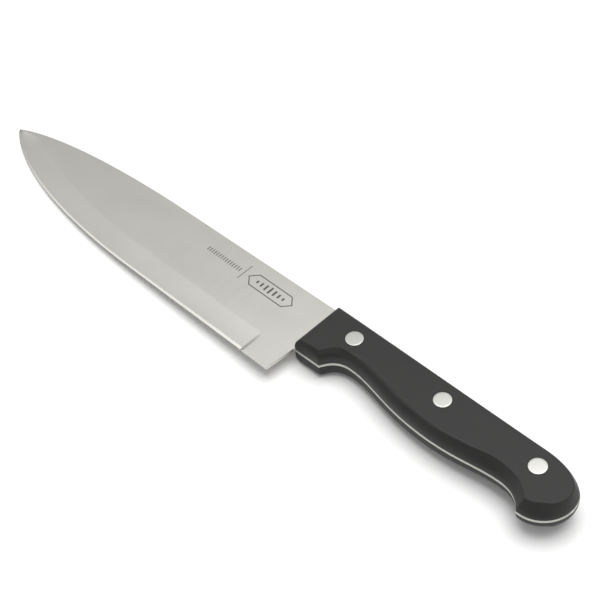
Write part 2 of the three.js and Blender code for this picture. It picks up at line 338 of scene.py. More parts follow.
def arc(start, end, count=120):
    """Arc of the butt's circle between two angles in degrees."""
    angle = np.radians(np.linspace(start, end, count))
    return at(BUTT_CENTRE) + BUTT_RADIUS * MM * np.column_stack((np.cos(angle), np.sin(angle)))


def line(start, end, count=60):
    """Even points on a straight line."""
    return at(start) + np.linspace(0.0, 1.0, count)[:, None] * (at(end) - at(start))


def chain(*curves):
    """Curves that follow on from each other, as one run of points."""
    return np.vstack([curves[0]] + [curve[1:] for curve in curves[1:]])


def lengths(points):
    """Distance travelled along a run of points, at each point."""
    steps = np.linalg.norm(np.diff(points[:, :2], axis=0), axis=1)
    return np.concatenate(([0.0], np.cumsum(steps)))


def sample(points, travel):
    """The run of points read off at the given distances along it, column by column."""
    known = lengths(points)
    return np.column_stack([np.interp(travel, known, column) for column in points.T])


def even(points, step):
    """The same run with points an even step apart."""
    total = lengths(points)[-1]
    return sample(points, np.linspace(0.0, total, max(2, int(round(total / step)) + 1)))


def inward(points):
    """Unit vectors to the left of the run's direction, which is inside the outline."""
    run = np.gradient(points[:, :2], axis=0)
    side = np.column_stack((-run[:, 1], run[:, 0]))
    return side / np.linalg.norm(side, axis=1)[:, None]


def on_butt(angle):
    """Point on the butt's circle, in the drawing's millimetres."""
    turn = math.radians(angle)
    x = BUTT_CENTRE[0] + BUTT_RADIUS * math.cos(turn)
    y = BUTT_CENTRE[1] + BUTT_RADIUS * math.sin(turn)
    return (x, y)


def grip_curve():
    """Underside of the handle from the guard to the hook: groove, belly and waist."""
    hook = on_butt(HOOK_ANGLE)
    gx, gy = GUARD
    vx, vy = GROOVE
    bx, by = BELLY
    wx, wy = WAIST
    return chain(
        bezier(GUARD, (gx + 2.4, gy + 4.6), (vx - 6.5, vy), GROOVE),
        bezier(GROOVE, (vx + 13, vy), (bx - 24, by), BELLY),
        bezier(BELLY, (bx + 16, by), (wx - 11, wy), WAIST),
        bezier(WAIST, (wx + 6, wy), (hook[0] - 3.4, hook[1] + 4.6), hook),
    )


def butt_shoulder():
    """Curve from the end of the butt's arc up to the straight back of the handle."""
    end = on_butt(BUTT_TOP_ANGLE)
    turn = math.radians(BUTT_TOP_ANGLE)
    reach = 3.5
    pull = (end[0] - reach * math.sin(turn), end[1] + reach * math.cos(turn))
    return bezier(end, pull, (BACK_END[0] + 13.5, BACK_END[1]), BACK_END)


# ------------------------------------------------------------------------- meshes


def quad_grid(rings):
    """Faces between closed rings of equal size, and one face over each end."""
    count, size = rings.shape[:2]
    here = np.arange(count * size).reshape(count, size)
    onward = np.roll(here, -1, axis=1)
    quads = np.stack((here[:-1], onward[:-1], onward[1:], here[1:]), axis=-1)
    faces = quads.reshape(-1, 4).tolist()
    faces.append(here[0, ::-1].tolist())
    faces.append(here[-1].tolist())
    return faces


def add_piece(name, points, faces, materials):
    """Makes a piece from points of the drawing, in metres, and puts it in the row frame."""
    mesh = bpy.data.meshes.new(name)
    mesh.from_pydata((points.reshape(-1, 3) + ORIGIN).tolist(), [], faces)
    for material in materials:
        mesh.materials.append(material)
    piece = bpy.data.objects.new(name, mesh)
    bpy.context.scene.collection.objects.link(piece)
    return piece


def smooth(piece, crease_degrees):
    """Shades a piece smoothly, except across edges sharper than the given angle."""
    piece.data.shade_smooth()
    piece.data.set_sharp_from_angle(angle=math.radians(crease_degrees))


def finish_piece(piece, slot, *nodes):
    """Ties a piece to the knife's body and hides the solids it stands for. The slot is not used.
    """
    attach(piece, "root")
    if nodes:
        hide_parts(*nodes)


def turned(name, profile, x, segments, materials):
    """A solid of revolution: [radius, height] pairs swept round the upright axis at (x, 0)."""
    profile = np.array(profile)
    turn = np.linspace(0.0, 2 * math.pi, segments, endpoint=False)
    rings = np.empty((len(profile), segments, 3))
    rings[:, :, 0] = x + profile[:, 0, None] * np.cos(turn)
    rings[:, :, 1] = profile[:, 0, None] * np.sin(turn)
    rings[:, :, 2] = profile[:, 1, None]
    return add_piece(name, rings, quad_grid(rings), materials)


def lift(piece, height):
    """Raises a piece, so that the drawing's height 0 comes to a height in the row frame."""
    piece.data.transform(Matrix.Translation((0, 0, height - ORIGIN[2])))


def turn_over(piece, height):
    """Mirrors a piece top to bottom and brings the drawing's height 0 to a row frame height."""
    mirror = Matrix.Diagonal((1, 1, -1, 1))
    piece.data.transform(Matrix.Translation((0, 0, height + ORIGIN[2])) @ mirror)
    piece.data.flip_normals()


def drill(piece, cutters):
    """Cuts solids out of a piece and removes them."""
    for cutter in cutters:
        cut = piece.modifiers.new(cutter.name, "BOOLEAN")
        cut.operation = "DIFFERENCE"
        cut.solver = "EXACT"
        cut.object = cutter
    depsgraph = bpy.context.evaluated_depsgraph_get()
    drilled = bpy.data.meshes.new_from_object(piece.evaluated_get(depsgraph))
    piece.modifiers.clear()
    solid = piece.data
    piece.data = drilled
    bpy.data.meshes.remove(solid)
    drilled.name = piece.name
    for cutter in cutters:
        mesh = cutter.data
        bpy.data.objects.remove(cutter)
        bpy.data.meshes.remove(mesh)


def rivet_places(sizes):
    """Distance of each rivet's axis from the front of the tang, in metres."""
    return [FIRST_RIVET * MM + sizes.rivet_pitch * i for i in range(len(RIVETS))]


# ------------------------------------------------------------------------- materials


def new_material(name):
    """A material with its node tree, its shader and an Object coordinates output."""
    material = bpy.data.materials.new(name)
    material.use_nodes = True
    tree = material.node_tree
    shader = tree.nodes["Principled BSDF"]
    place = tree.nodes.new("ShaderNodeTexCoord").outputs["Object"]
    return material, tree, shader, place


def grain(tree, place, stretch, detail):
    """Noise with stretched cells: each stretch is about a cell's size along an axis, in metres."""
    mapping = tree.nodes.new("ShaderNodeMapping")
    mapping.vector_type = "TEXTURE"
    mapping.inputs["Scale"].default_value = stretch
    tree.links.new(place, mapping.inputs["Vector"])
    noise = tree.nodes.new("ShaderNodeTexNoise")
    noise.inputs["Scale"].default_value = 1.0
    noise.inputs["Detail"].default_value = detail
    tree.links.new(mapping.outputs["Vector"], noise.inputs["Vector"])
    return noise.outputs["Fac"]


def spread(tree, value, low, high):
    """Maps the middle of a noise, 0.3 to 0.7, onto low to high."""
    node = tree.nodes.new("ShaderNodeMapRange")
    node.inputs["From Min"].default_value = 0.3
    node.inputs["From Max"].default_value = 0.7
    node.inputs["To Min"].default_value = low
    node.inputs["To Max"].default_value = high
    tree.links.new(value, node.inputs["Value"])
    return node.outputs["Result"]


def tint(tree, value, dark, light):
    """Colour between two tones, chosen by a value."""
    mix = tree.nodes.new("ShaderNodeMix")
    mix.data_type = "RGBA"
    mix.inputs["A"].default_value = (*dark, 1.0)
    mix.inputs["B"].default_value = (*light, 1.0)
    tree.links.new(value, mix.inputs["Factor"])
    return mix.outputs["Result"]


def dent(tree, value, depth, shader):
    """Bump from a value, with its depth in metres, on a shader's normal."""
    bump = tree.nodes.new("ShaderNodeBump")
    bump.inputs["Strength"].default_value = 1.0
    bump.inputs["Distance"].default_value = depth
    tree.links.new(value, bump.inputs["Height"])
    tree.links.new(bump.outputs["Normal"], shader.inputs["Normal"])


def shade(colour, factor):
    """A colour made darker or lighter."""
    return tuple(channel * factor for channel in colour)


def brushed_steel(name, colour, roughness, brush, depth):
    """Satin steel: fine brushed lines in its roughness and relief, and a cloudy tone."""
    material, tree, shader, place = new_material(name)
    shader.inputs["Metallic"].default_value = 1.0
    lines = grain(tree, place, brush, 3.0)
    cloud = grain(tree, place, (0.03, 0.012, 0.03), 2.0)
    tone = tint(tree, spread(tree, cloud, 0.0, 1.0), shade(colour, 0.975), shade(colour, 1.02))
    tree.links.new(tone, shader.inputs["Base Color"])
    tree.links.new(spread(tree, lines, *roughness), shader.inputs["Roughness"])
    dent(tree, lines, depth, shader)
    return material


def moulded_plastic(name, colour):
    """Satin black moulding: fine grained skin, with faint cloudy wear in its tone and gloss."""
    material, tree, shader, place = new_material(name)
    wear = grain(tree, place, (0.018, 0.009, 0.009), 3.0)
    skin = grain(tree, place, (0.00035, 0.00035, 0.00035), 2.0)
    tone = tint(tree, spread(tree, wear, 0.0, 1.0), shade(colour, 0.92), shade(colour, 1.1))
    tree.links.new(tone, shader.inputs["Base Color"])
    tree.links.new(spread(tree, wear, 0.46, 0.56), shader.inputs["Roughness"])
    shader.inputs["Specular IOR Level"].default_value = 0.33
    dent(tree, skin, 0.000012, shader)
    return material


def etched_oxide(name, colour):
    """Dark matt etching with a faint speckle."""
    material, tree, shader, place = new_material(name)
    shader.inputs["Metallic"].default_value = 0.3
    speckle = grain(tree, place, (0.0003, 0.0003, 0.0003), 2.0)
    tone = tint(tree, spread(tree, speckle, 0.0, 1.0), shade(colour, 0.85), shade(colour, 1.2))
    tree.links.new(tone, shader.inputs["Base Color"])
    tree.links.new(spread(tree, speckle, 0.5, 0.65), shader.inputs["Roughness"])
    return material


# ------------------------------------------------------------------------- blade


def top_line(sizes):
    """Spine and back of the handle, as one run from the blunt tip to the butt."""
    tip = -sizes.blade_length / MM
    drop, rise = TIP_ROUNDING
    quarter = np.linspace(0.0, math.pi / 2, 12)
    blunt = np.column_stack((
        tip + drop * (1 - np.sin(quarter)),
        TIP_HEIGHT + rise * np.cos(quarter),
    ))[::-1] * MM
    sx, sy = SPINE_BEND
    blunt_end = (tip + drop, TIP_HEIGHT + rise)
    fall = bezier(SPINE_BEND, (sx - 29, sy - 0.5), (sx - 81, sy - 3.8), blunt_end)
    return chain(
        blunt,
        fall[::-1],
        line(SPINE_BEND, SPINE_AT_HANDLE),
        line(SPINE_AT_HANDLE, BACK_END),
        butt_shoulder()[::-1],
        arc(BUTT_TOP_ANGLE, BUTT_CLOSE_ANGLE),
    )


def bottom_line(sizes):
    """Cutting edge, heel, underside of the handle and butt, as one run of stations."""
    tip = -sizes.blade_length / MM
    drop, rise = TIP_ROUNDING
    quarter = np.linspace(0.12, math.pi / 2, 10)
    blunt = np.column_stack((
        tip + drop * (1 - np.cos(quarter)),
        TIP_HEIGHT - rise * np.sin(quarter),
    )) * MM
    ex, ey = EDGE_BEND
    blunt_end = (tip + drop, TIP_HEIGHT - rise)
    sweep = bezier(EDGE_BEND, (ex - 31, ey + 0.1), (ex - 82.5, ey + 4.5), blunt_end)
    hx, hy = HEEL
    share = (PLUNGE_X - ex) / (hx - ex)
    plunge_y = ey + share * (hy - ey)
    before = (PLUNGE_X - FINE_REACH, plunge_y)
    after = (PLUNGE_X + FINE_REACH, plunge_y)
    behind = (hx + 0.07, hy + HEEL_ROUNDING)
    rounding = bezier((hx - HEEL_ROUNDING, hy), (hx - 0.3, hy), (hx, hy + 0.3), behind, 16)
    return chain(
        blunt,
        even(sweep[::-1], 0.9 * MM),
        even(line(EDGE_BEND, before), 1.5 * MM),
        even(line(before, after), 0.1 * MM),
        even(line(after, (hx - HEEL_ROUNDING, hy)), 1.0 * MM),
        rounding,
        even(line(behind, (0.0, -FRONT_DEPTH)), 1.0 * MM),
        even(line((0.0, -FRONT_DEPTH), GUARD), 1.2 * MM),
        even(grip_curve(), 0.6 * MM),
        arc(HOOK_ANGLE, -BUTT_CLOSE_ANGLE, 64),
    )


BREAK_ANGLES = (0.0, 22.5, 45.0, 67.5)  # points on the rounding of each of the plate's edges


def blade_levels():
    """Heights of the grid's lines up a face, as shares of the bevel, the grind and the rest."""
    bevel = np.array((0.0, 0.35, 0.7, 0.93, 1.0))
    grind = np.concatenate(((0.008,), np.linspace(0.08, 0.92, 11), (0.97, 1.0)))
    rest = np.concatenate(((0.03,), np.linspace(0.12, 0.97, 7), (0.993, 1.0)))
    return bevel, grind, rest


def blade_rings(sizes):
    """
    Cross-sections of the blade and tang, one at each station x along the bottom line.

    From the cutting edge upwards the half thickness grows evenly to the top of the bevel,
    then as a power of the height, which is a shallow hollow, to the top of the grind, and
    stays at half the plate's thickness above that. Behind the plunge line it is half the
    plate's thickness everywhere. The plate's edges are quarter circles of the edge break.
    """
    bottom = bottom_line(sizes)
    top = top_line(sizes)
    x = bottom[:, 0]
    low = bottom[:, 1]
    high = np.interp(x, top[:, 0], top[:, 1])
    depth = high - low
    half_plate = (TANG_HIGH - TANG_LOW) / 2
    half_apex = HALF_APEX * MM

    grind = np.minimum(sizes.grind_height, 0.8 * depth)[:, None]
    bevel_share, grind_share, rest_share = blade_levels()
    deeper = np.clip((x - HOLLOW_FROM * MM) / (HOLLOW_RUN * MM), 0.0, 1.0)[:, None]
    gain = 1 + HEEL_GAIN * deeper
    half_bevel = sizes.bevel_thickness / 2 * gain
    bevel = np.minimum(sizes.bevel_height * gain, 0.3 * depth[:, None])
    hollow = grind_share ** (HOLLOW_POWER + HOLLOW_GAIN * deeper)
    above = np.hstack((
        bevel * bevel_share,
        bevel + (grind - bevel) * grind_share,
        grind + (depth[:, None] - grind) * rest_share,
    ))
    ground = np.hstack((
        half_apex + (half_bevel - half_apex) * bevel_share,
        half_bevel + (half_plate - half_bevel) * hollow,
        np.full((len(x), len(rest_share)), half_plate),
    ))
    ramp_start = (PLUNGE_X - PLUNGE_REACH) * MM
    ramp = np.clip((x - ramp_start) / (2 * PLUNGE_REACH * MM), 0.0, 1.0)[:, None]
    plate_share = ramp * ramp * (3 - 2 * ramp)
    half = ground * (1 - plate_share) + half_plate * plate_share

    heel = plate_share[:, 0]
    facing_back = np.abs(inward(bottom)[:, 0])
    bottom_break = 0.01 * MM + sizes.steel_break * (0.3 + 0.7 * facing_back) * heel
    top_break = np.minimum(sizes.steel_break, 0.1 * depth)
    return assemble_sections(x, low, high, above, half, bottom_break, top_break, bottom)


def assemble_sections(x, low, high, above, half, bottom_break, top_break, bottom):
    """Closed loops round the sections: up the left face, over the spine, down the right."""
    quarter = np.radians(BREAK_ANGLES)
    side = inward(bottom)
    share = above / (high - low)[:, None]
    start = low + bottom_break * np.maximum(side[:, 1], 0.2)
    face_y = start[:, None] + (high - top_break - start)[:, None] * share

    foot_in = bottom_break[:, None] * (1 - np.cos(quarter))
    foot_z = half[:, :1] - bottom_break[:, None] * (1 - np.sin(quarter))
    crown_in = top_break[:, None] * (1 - np.cos(quarter[::-1]))
    crown_z = half[:, -1:] - top_break[:, None] * (1 - np.sin(quarter[::-1]))

    straight = np.repeat(x[:, None], above.shape[1] + len(quarter), axis=1)
    columns_x = np.hstack((x[:, None] + foot_in * side[:, :1], straight))
    columns_y = np.hstack((low[:, None] + foot_in * side[:, 1:], face_y, high[:, None] - crown_in))
    columns_z = np.hstack((foot_z, half, crown_z))
    middle = (TANG_HIGH + TANG_LOW) / 2 - ORIGIN[2]
    left = np.stack((columns_x, columns_y, middle - columns_z), axis=-1)
    right = np.stack((columns_x, columns_y, middle + columns_z), axis=-1)
    return np.concatenate((left, right[:, ::-1]), axis=1)


def finish_and_painted_light_zones(rings, faces):
    """Material of each face: 0 satin flat, 1 ground face, 2 sharpened bevel with its painted
    highlight, 3 tang's edge with its painted shade.
    """
    stations, size = rings.shape[:2]
    bevel, grind, _ = blade_levels()
    feet = len(BREAK_ANGLES)
    column = np.arange(size)
    from_edge = np.minimum(column, size - 1 - column)
    zone = np.zeros((stations - 1, size), int)
    onward = np.minimum(from_edge, np.roll(from_edge, -1))
    zone[:, onward < feet + len(bevel) + len(grind) - 1] = 1
    zone[:, onward < feet + len(bevel) - 1] = 2
    station_x = rings[:-1, 0, 0]
    zone[station_x > (PLUNGE_X - PLUNGE_REACH) * MM] = 0
    # Zone 3 on the tang's edge carries its painted shade.
    shaded_tang_edge = (onward < feet) | (onward >= size // 2 - feet)
    zone[np.ix_(station_x > SCALE_FRONT * MM, shaded_tang_edge)] = 3
    return np.concatenate((zone.ravel(), np.zeros(len(faces) - zone.size, int)))


class KNIFE_OT_blade(bpy.types.Operator):
    """Builds the ground blade with its heel and its full tang"""

    bl_idname = "knife.blade"
    bl_label = "Blade"

    def execute(self, context):
        sizes = context.scene.knife_sizes
        colour = context.scene.knife_colours.steel
        # The sharpened bevel's steel is painted a fifth lighter than the blade's, a painted
        # highlight. Its lower roughness is its real honed polish.
        bevel_highlight_colour = shade(colour, 1.2)
        # The tang's edge is painted darker, painted shade that dims its bright reflection of the
        # table.
        edge_shade_colour = shade(colour, 0.82)
        # Name, colour, range of roughness, size of the brushed lines and their depth.
        blade_materials = [
            brushed_steel(*finish)
            for finish in (
                ("satin_blade", colour, (0.37, 0.43), (0.00022, 0.03, 0.0003), 0.0000016),
                ("ground_blade", colour, (0.35, 0.4), (0.0002, 0.02, 0.0003), 0.0000014),
                ("honed_bevel_painted_highlight", bevel_highlight_colour, (0.25, 0.3), (0.0002, 0.002, 0.0003), 0.000001),
                ("shaded_tang_edge", edge_shade_colour, (0.42, 0.5), (0.002, 0.002, 0.0002), 0.000002),
            )
        ]
        rings = blade_rings(sizes)
        faces = quad_grid(rings)
        blade = add_piece("blade_and_tang", rings, faces, blade_materials)
        blade.data.polygons.foreach_set("material_index", finish_and_painted_light_zones(rings, faces))
        radius = TANG_HOLE * MM
        low = TANG_LOW - ORIGIN[2] - 2 * MM
        high = TANG_HIGH - ORIGIN[2] + 2.5 * MM
        holes = [
            turned(f"tang_hole_{i}", ((radius, low), (radius, high)), x, 48, ())
            for i, x in enumerate(rivet_places(sizes))
        ]
        drill(blade, holes)
        smooth(blade, crease_degrees=24.0)
        finish_piece(blade, "blade_steel", "blade")
        return {"FINISHED"}


# ------------------------------------------------------------------------- handle scales


def outline_stretches():
    """The outline's four smooth stretches, counter-clockwise: x, y and the wall's three sizes."""
    front_low = (SCALE_FRONT, -FRONT_DEPTH)
    front_top = (SCALE_FRONT, SPINE_AT_HANDLE[1])
    stretches = (
        line(front_low, GUARD, 80),
        grip_curve(),
        chain(arc(HOOK_ANGLE, BUTT_TOP_ANGLE), butt_shoulder(), line(BACK_END, front_top, 120)),
        line(front_top, front_low, 80),
    )
    round_trip = chain(*stretches)
    travel = lengths(round_trip)
    places = np.array([place for place, *_ in WALL_PLACES]) * MM
    gaps = np.linalg.norm(round_trip[None, :-1] - places[:, None], axis=2)
    keys = np.append(travel[np.argmin(gaps, axis=1)], travel[-1])
    wall = np.array([sizes for _, *sizes in WALL_PLACES]) * MM
    wall = np.vstack((wall, wall[:1]))
    span = np.clip(np.searchsorted(keys, travel, side="right") - 1, 0, len(keys) - 2)
    share = (travel - keys[span]) / (keys[span + 1] - keys[span])
    eased = (share * share * (3 - 2 * share))[:, None]
    sized = np.hstack((round_trip, wall[span] * (1 - eased) + wall[span + 1] * eased))
    ends = np.cumsum([0] + [len(stretch) - 1 for stretch in stretches])
    return [sized[a:b + 1] for a, b in zip(ends[:-1], ends[1:])]


def cross(a, b):
    """Third coordinate of the cross product of plan vectors."""
    return a[..., 0] * b[..., 1] - a[..., 1] * b[..., 0]


def crossing(first, second):
    """
    Distances along two runs of points at the place where they cross.

    Every segment of one is solved against every segment of the other for the two shares
    at which their lines meet, and the pair whose shares both lie within 0 and 1 is kept.
    """
    p = first[:-1, None, :2]
    q = second[None, :-1, :2]
    r = np.diff(first[:, :2], axis=0)[:, None]
    s = np.diff(second[:, :2], axis=0)[None]
    slant = cross(r, s)
    slant = np.where(np.abs(slant) < 1e-16, 1e-16, slant)
    t = cross(q - p, s) / slant
    u = cross(q - p, r) / slant
    miss = np.maximum(np.abs(t - 0.5), np.abs(u - 0.5))
    i, j = np.unravel_index(np.argmin(miss), miss.shape)
    on_first = lengths(first)
    on_second = lengths(second)
    a = on_first[i] + np.clip(t[i, j], 0, 1) * (on_first[i + 1] - on_first[i])
    b = on_second[j] + np.clip(u[i, j], 0, 1) * (on_second[j + 1] - on_second[j])
    return a, b


def inset_ring(moved, counts, corner):
    """
    One ring of a scale's wall, from the outline's stretches after their move inwards.

    Each stretch is cut where it crosses its neighbours, is shortened by the corner's reach
    and divided evenly. Each corner is a quadratic curve about the crossing.
    """
    starts = [0.0] * len(moved)
    ends = [0.0] * len(moved)
    for i, stretch in enumerate(moved):
        following = (i + 1) % len(moved)
        ends[i], starts[following] = crossing(stretch, moved[following])
    parts = []
    t = np.linspace(0.0, 1.0, 8)[1:-1, None]
    for i, stretch in enumerate(moved):
        travel = np.linspace(starts[i] + corner, ends[i] - corner, counts[i])
        parts.append(sample(stretch, travel))
        following = (i + 1) % len(moved)
        peak = sample(stretch, np.array((ends[i],)))
        onward = sample(moved[following], np.array((starts[following] + corner,)))
        parts.append((1 - t) ** 2 * parts[-1][-1:] + 2 * (1 - t) * t * peak + t**2 * onward)
    return np.vstack(parts)


def rounded(start, peak, end, shares):
    """Quadratic curve about a peak: weights (1-t)^2, 2(1-t)t, t^2, one row for each share."""
    t = np.array(shares)[:, None]
    return (1 - t) ** 2 * start + 2 * (1 - t) * t * peak + t**2 * end


def wall_levels(wall, rounding):
    """
    Depth and height of each of the wall's rings, with one column for each point of a stretch.

    From the tang the wall has a small break and stands upright, turns through a quadratic
    curve into a straight lean, and turns through another one into the flat face.
    """
    inset, upright, soft = wall.T
    rise = FACE_HIGH - TANG_HIGH
    small = 0.12 * MM
    slope = np.hypot(inset, rise - upright)
    lean_in = inset / slope
    lean_up = (rise - upright) / slope
    low = np.minimum(rounding, upright - 2 * small)
    along = np.minimum(rounding, 0.45 * slope)
    soft = np.minimum(soft, 0.5 * slope)
    zero = np.zeros_like(inset)
    turn = (0.0, 0.2, 0.4, 0.6, 0.8, 1.0)
    depth = np.vstack((
        zero + small,
        zero + 0.3 * small,
        zero,
        zero,
        rounded(zero, zero, lean_in * along, turn),
        lean_in * (along + slope - soft) / 2,
        rounded(inset - lean_in * soft, inset, inset + soft, turn),
        inset + soft + 0.3 * MM,
    ))
    height = np.vstack((
        zero,
        zero + 0.3 * small,
        zero + small,
        (upright - low + small) / 2,
        rounded(upright - low, upright, upright + lean_up * along, turn),
        upright + lean_up * (along + slope - soft) / 2,
        rounded(rise - lean_up * soft, zero + rise, zero + rise, turn),
        zero + rise,
    ))
    return depth, height


def scale_rings(sizes, extra_upright):
    """Rings of a scale that stands on the tang at height 0, from the tang to the flat face."""
    moved = []
    for stretch in outline_stretches():
        wall = stretch[:, 2:] + np.array((0.0, extra_upright, 0.0))
        depth, height = wall_levels(wall, sizes.wall_rounding)
        plan = stretch[None, :, :2] + inward(stretch)[None] * depth[:, :, None]
        moved.append(np.dstack((plan, height)))
    return np.array([inset_ring(level, WALL_COUNTS, WALL_CORNER * MM) for level in zip(*moved)])


def recess_cutter(sizes, name, x):
    """The stepped hole for a rivet: shank hole, head recess and a small break at its rim."""
    shank = SHANK_HOLE * MM
    head = sizes.head_radius + sizes.head_gap
    rise = FACE_HIGH - TANG_HIGH
    seat = rise - SEAT_DEPTH * MM
    rim = 0.08 * MM
    profile = (
        (shank, -MM),
        (shank, seat),
        (head, seat),
        (head, rise - rim),
        (head + rim, rise),
        (head + rim, rise + MM),
    )
    return turned(name, profile, x, 96, ())


class KNIFE_OT_scales(bpy.types.Operator):
    """Builds the two moulded handle scales, one above the tang and one below it"""

    bl_idname = "knife.scales"
    bl_label = "Handle scales"

    def execute(self, context):
        sizes = context.scene.knife_sizes
        plastic = moulded_plastic("handle_plastic", context.scene.knife_colours.plastic)
        for side, extra in (("right", 0.0), ("left", LEFT_EXTRA * MM)):
            rings = scale_rings(sizes, extra)
            scale = add_piece(f"{side}_handle_scale", rings, quad_grid(rings), (plastic,))
            cutters = [
                recess_cutter(sizes, f"{side}_{name}_recess", x)
                for name, x in zip(RIVETS, rivet_places(sizes))
            ]
            drill(scale, cutters)
            if side == "right":
                lift(scale, TANG_HIGH)
            else:
                turn_over(scale, TANG_LOW)
            smooth(scale, crease_degrees=30.0)
            finish_piece(scale, "handle_plastic", f"{side}_scale")
        return {"FINISHED"}


# ------------------------------------------------------------------------- rivets


POLE = 0.02  # a turned solid stops this far from its axis and is closed by a small face


def head_profile(sizes):
    """Outline of a rivet's head from its middle outwards: a low crown and a rounded rim."""
    radius = sizes.head_radius
    small = 0.12 * MM
    turn = np.radians((90.0, 60.0, 30.0, 0.0))
    rim = np.column_stack((radius - small + small * np.cos(turn), -small + small * np.sin(turn)))
    crown = np.array((
        (POLE * MM, 0.03 * MM),
        (0.4 * radius, 0.025 * MM),
        (0.8 * radius, 0.01 * MM),
    ))
    return np.vstack((crown, rim))


def rivet_half(sizes, name, x, shank, bore, length, steel):
    """
    One half of a rivet, turned about its axis, with the rim of its head's face at height 0.

    The profile runs from the centre of the crown over the rim and down the shank. A bore
    in the shank, where there is one, is a blind hole that ends short of the head.
    """
    seat = -HEAD_THICKNESS
    stem = ((shank, seat), (shank, -length))
    if bore:
        inside = ((bore, -length), (bore, -BORE_END), (POLE, -BORE_END))
    else:
        inside = ((POLE, -length),)
    below = at(stem + inside)
    profile = np.vstack((head_profile(sizes), (sizes.head_radius, seat * MM), below))[::-1]
    return turned(name, profile, x, 96, (steel,))


class KNIFE_OT_rivets(bpy.types.Operator):
    """Builds the three rivets, each a tube half and a pin half"""

    bl_idname = "knife.rivets"
    bl_label = "Rivets"

    def execute(self, context):
        sizes = context.scene.knife_sizes
        colour = context.scene.knife_colours.rivet
        for name, x in zip(RIVETS, rivet_places(sizes)):
            steel = brushed_steel(
                f"{name}_rivet_steel", colour, (0.36, 0.42), (0.004, 0.00012, 0.004), 0.000001
            )
            tube = rivet_half(
                sizes, f"{name}_tube_half", x, TUBE_RADIUS, TUBE_BORE, TUBE_LENGTH, steel
            )
            lift(tube, FACE_HIGH)
            pin = rivet_half(sizes, f"{name}_pin_half", x, PIN_RADIUS, None, PIN_LENGTH, steel)
            turn_over(pin, ORIGIN[2])
            for half, node in ((tube, "tube"), (pin, "pin")):
                smooth(half, crease_degrees=35.0)
                finish_piece(half, "rivet_steel", f"{name}_rivet_{node}")
        return {"FINISHED"}


# ------------------------------------------------------------------------- etched mark


def bars(x, y, width, heights):
    """Corners of upright bars, counter-clockwise, from their centres, width and heights."""
    x, y, heights = (np.reshape(value, (-1, 1)) for value in (x, y, heights))
    corner_x = x + np.array((-1, 1, 1, -1)) * width / 2
    corner_y = y + np.array((-1, -1, 1, 1)) * heights / 2
    return np.dstack(np.broadcast_arrays(corner_x, corner_y)) * MM


def band_sides(corners, width):
    """Outer and inner corners of a band of even width along a closed outline, mitred."""
    along = np.roll(corners, -1, axis=0) - corners
    along /= np.linalg.norm(along, axis=1)[:, None]
    side = np.column_stack((-along[:, 1], along[:, 0]))
    side_before = np.roll(side, 1, axis=0)
    mitre = (side + side_before) / (1 + (side * side_before).sum(1))[:, None]
    return corners - mitre * width / 2, corners + mitre * width / 2


class KNIFE_OT_etching(bpy.types.Operator):
    """Builds the neutral etched mark on the blade: bars, a divider and a plain frame"""

    bl_idname = "knife.etching"
    bl_label = "Etched mark"

    def execute(self, context):
        oxide = etched_oxide("etched_oxide", context.scene.knife_colours.etching)
        row = bars(np.linspace(ROW_FROM, ROW_TO, ROW_COUNT), MARK_LINE, *ROW_BAR)
        divider = bars(*DIVIDER)
        inside_x = FRAME_MIDDLE + np.linspace(-INSIDE_REACH, INSIDE_REACH, len(INSIDE_HEIGHTS))
        inside = bars(inside_x, MARK_LINE, INSIDE_WIDTH, INSIDE_HEIGHTS)
        shoulder = FRAME_HALF_LONG - FRAME_NOSE
        frame_corners = np.array((
            (-FRAME_HALF_LONG, 0.0),
            (-shoulder, -FRAME_HALF_HIGH),
            (shoulder, -FRAME_HALF_HIGH),
            (FRAME_HALF_LONG, 0.0),
            (shoulder, FRAME_HALF_HIGH),
            (-shoulder, FRAME_HALF_HIGH),
        )) + (FRAME_MIDDLE, MARK_LINE)
        outer, inner = band_sides(frame_corners * MM, FRAME_LINE * MM)
        mark = self.raise_mark(np.concatenate((row, divider, inside)), outer, inner, oxide)
        finish_piece(mark, "blade_steel")
        return {"FINISHED"}

    @staticmethod
    def raise_mark(plan, outer, inner, material):
        """
        Gives the bars and the frame a floor just in the steel and a top just above it.

        Each bar is a block on its four corners. The frame is four rings, outer and inner, low
        and high, with quads between neighbouring rings.
        """
        face = TANG_HIGH - ORIGIN[2]
        floor = face - MARK_DEPTH * MM
        top = face + MARK_HEIGHT * MM
        low = np.dstack((plan, np.full(plan.shape[:2], floor)))
        high = np.dstack((plan, np.full(plan.shape[:2], top)))
        blocks = np.concatenate((low, high), axis=1).reshape(-1, 3)
        pattern = np.array((
            (3, 2, 1, 0), (4, 5, 6, 7), (0, 1, 5, 4), (1, 2, 6, 5), (2, 3, 7, 6), (3, 0, 4, 7),
        ))
        block_faces = (pattern[None] + 8 * np.arange(len(plan))[:, None, None]).reshape(-1, 4)

        levels = ((outer, floor), (inner, floor), (inner, top), (outer, top))
        rings = np.vstack([np.column_stack((ring, np.full(len(ring), z))) for ring, z in levels])
        here = len(blocks) + np.arange(len(rings)).reshape(len(levels), -1)
        inward_next = np.roll(here, -1, axis=0)
        quads = np.stack(
            (here, inward_next, np.roll(inward_next, -1, axis=1), np.roll(here, -1, axis=1)),
            axis=-1,
        )
        points = np.vstack((blocks, rings))
        faces = np.vstack((block_faces, quads.reshape(-1, 4)))
        return add_piece("etched_mark", points, faces.tolist(), (material,))


# ------------------------------------------------------------------------- studio


def table_tilt():
    """Slope of the table: it touches the lower scale's front and the tip of the blade."""
    contact = ORIGIN[0] + (SCALE_FRONT + WALL_PLACES[0][1]) * MM
    tip_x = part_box("blade")[0].x
    tip_z = (TANG_LOW + TANG_HIGH) / 2
    return contact, math.atan2(tip_z - ORIGIN[2], contact - tip_x)


